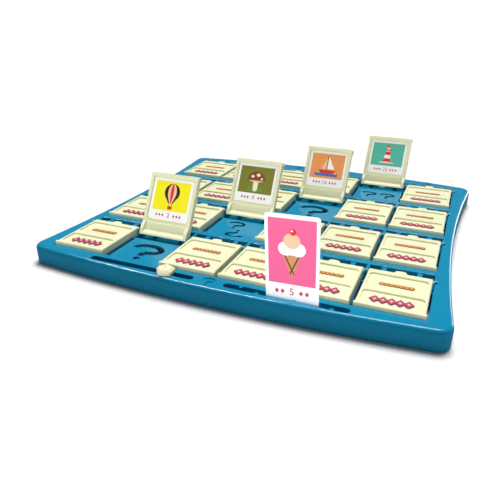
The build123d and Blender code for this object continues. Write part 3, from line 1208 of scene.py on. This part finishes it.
@dataclass(frozen=True)
class Lamp:
    """One soft lamp.

    Attributes:
        name: Its name.
        towards: Direction from the game to the lamp.
        power: Watts, or watts a square metre for a sun.
        size: Width in metres, or the angle of a sun in degrees.
        far: Distance from the game; 0 makes it a sun.
        tall: Height as a share of the width.
        mirror_only: True for a lamp that is seen in reflections and lights nothing else.
    """

    name: str
    towards: tuple[float, float, float]
    power: float
    size: float
    far: float = 0.0
    tall: float = 1.0
    mirror_only: bool = False

    def hang(self, lit: Items | None = None, shading: Items | None = None) -> None:
        """Hang the lamp.

        Args:
            lit: The only objects it lights; None is everything.
            shading: The only objects that cast its shadows; None is everything.
        """
        sun = self.far == 0
        light = bpy.data.lights.new(self.name, "SUN" if sun else "AREA")
        light.energy = self.power
        if sun:
            light.angle = math.radians(self.size)
        else:
            light.shape = "RECTANGLE"
            light.size = self.size
            light.size_y = self.size * self.tall
        lamp = bpy.data.objects.new(self.name, light)
        way = Vector(self.towards).normalized()
        lamp.location = way * (self.far or 1.0)
        lamp.rotation_euler = way.to_track_quat("Z", "Y").to_euler()
        bpy.context.scene.collection.objects.link(lamp)
        lamp.visible_diffuse = not self.mirror_only
        if lit is not None:
            lamp.light_linking.receiver_collection = self._group("lit_by", lit)
        if shading is not None:
            lamp.light_linking.blocker_collection = self._group("shading", shading)

    def _group(self, prefix: str, items: Items) -> bpy.types.Collection:
        """Collect objects for light linking."""
        group = bpy.data.collections.new(f"{prefix}_{self.name}")
        for item in items:
            group.objects.link(item)
        return group


@dataclass
class Studio:
    """Floor, backdrop, lights and camera.

    Attributes:
        eye: The camera's place.
        aim: A point on its axis.
        roll: Its turn about that axis, in degrees.
        lens: Its focal length in millimetres, for the sensor's width.
        sensor: The sensor's width in millimetres.
        near: Nearest distance that it shows.
        floor_size: Side of the square floor.
        wall: Foot and top of the backdrop, in halves of the floor's size.
        drop: Floor below the game, so that the two don't share a plane.
        air: Brightness of the even light from all round.
    """

    eye: Vector = field(default_factory=lambda: Vector((0.12165, -0.353, 0.15596)))
    aim: Vector = field(default_factory=lambda: Vector((-0.005806, -0.048487, 0.0)))
    roll: float = 0.148
    lens: float = 37.08
    sensor: float = 36.0
    near: float = 0.01
    floor_size: float = 16.0
    wall: tuple[float, float] = (-0.1, 0.9)
    drop: float = 0.05 * MM
    air: float = 0.16

    KEY = Lamp("key", towards=(-0.04, 0.38, 0.92), power=3.75, size=30)
    FRONT = Lamp("front", towards=(0.1, -0.97, 0.22), power=10.0, size=0.7, far=1.2)
    FILL = Lamp("fill", towards=(0.1, -0.97, 0.22), power=4.5, size=0.7, far=1.2)
    RIM = Lamp(
        "rim",
        towards=(0.42, 0.9, 0.07),
        power=1.7,
        size=0.5,
        far=0.9,
        tall=0.3,
        mirror_only=True,
    )
    GLINT = Lamp(
        "glint",
        towards=(-0.45, 0.04, 0.89),
        power=26.0,
        size=0.22,
        far=1.2,
        tall=3.0,
        mirror_only=True,
    )

    def build(self, cast: Cast) -> None:
        """Make everything that isn't the game.

        Args:
            cast: The game's pieces; the loose card casts no shadow of the key lamp.
        """
        self._ground()
        self._camera()
        self.KEY.hang(shading=[*cast.raised, *cast.lying, *cast.tray])
        self.FRONT.hang([*cast.raised, *cast.loose])
        self.FILL.hang(cast.lying)
        self.RIM.hang(cast.tray)
        self.GLINT.hang(cast.tray)
        world = bpy.data.worlds.new("studio_air")
        world.use_nodes = True
        sky = world.node_tree.nodes["Background"]
        sky.inputs["Color"].default_value = (1, 1, 1, 1)
        sky.inputs["Strength"].default_value = self.air
        scene = bpy.context.scene
        scene.world = world
        scene.view_settings.view_transform = "Standard"
        scene.cycles.use_denoising = True

    def _ground(self) -> None:
        """Lay the floor, and set the backdrop up all round it."""
        plan = ((-1, -1), (1, -1), (1, 1), (-1, 1))
        sides = len(plan)
        floor = self._sheet("floor", [(x, y, 0) for x, y in plan], [tuple(range(sides))], FLOOR)
        floor.visible_glossy = False
        walls = [(x, y, z) for x, y in plan for z in self.wall]
        order = (0, 1, 3, 2)  # a wall's own corners and the next wall's, once round
        panels = [tuple((2 * i + step) % (2 * sides) for step in order) for i in range(sides)]
        back = self._sheet("backdrop", walls, panels, BACKDROP)
        back.visible_shadow = False
        back.visible_glossy = False
        back.visible_diffuse = False

    def _sheet(
        self,
        name: str,
        corners: Sequence[Sequence[float]],
        panels: Sequence[Sequence[int]],
        finish: Ground,
    ) -> bpy.types.Object:
        """Set up large plain sheets.

        Args:
            name: Their name.
            corners: Corners in halves of the floor's size.
            panels: Each sheet's corners, by number.
            finish: Their finish.

        Returns:
            The sheets, as one object.
        """
        mesh = bpy.data.meshes.new(name)
        half = self.floor_size / 2
        points = [(x * half, y * half, z * half - self.drop) for x, y, z in corners]
        mesh.from_pydata(points, [], panels)
        mesh.materials.append(finish.material())
        sheet = bpy.data.objects.new(name, mesh)
        bpy.context.scene.collection.objects.link(sheet)
        return sheet

    def _camera(self) -> None:
        """Place the camera."""
        lens = bpy.data.cameras.new("camera")
        lens.lens = self.lens
        lens.sensor_width = self.sensor
        lens.clip_start = self.near
        camera = bpy.data.objects.new("camera", lens)
        look = (self.aim - self.eye).to_track_quat("-Z", "Y").to_matrix().to_4x4()
        tilt = Matrix.Rotation(math.radians(self.roll), 4, "Z")
        camera.matrix_world = Matrix.Translation(self.eye) @ look @ tilt
        bpy.context.scene.collection.objects.link(camera)
        bpy.context.scene.camera = camera


def main() -> None:
    """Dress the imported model, print its cards and light it."""
    logging.basicConfig(level=logging.INFO, format="%(message)s")
    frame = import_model()
    board = Board([Hinge.read(joint) for joint in frame["joints"] if joint["type"] == "hinge"])
    Mouldings(frame["nodes"]).dress()
    inks = {name: ink.material() for name, ink in INKS.items()}
    slots = {part["node"]: part["material_slot"] for part in frame["record"]["subparts"]}
    pieces = FaceCards(inks, slots).build(board)
    pieces.append(MysteryCard(inks).build())
    pieces += BackPrints(inks).build(board)
    for piece in pieces:
        LOG.info("%s: %d faces", piece.name, len(piece.data.polygons))
    Studio().build(Cast.sort([*frame["nodes"].values(), *pieces], board))


if __name__ == "__main__":
    main()
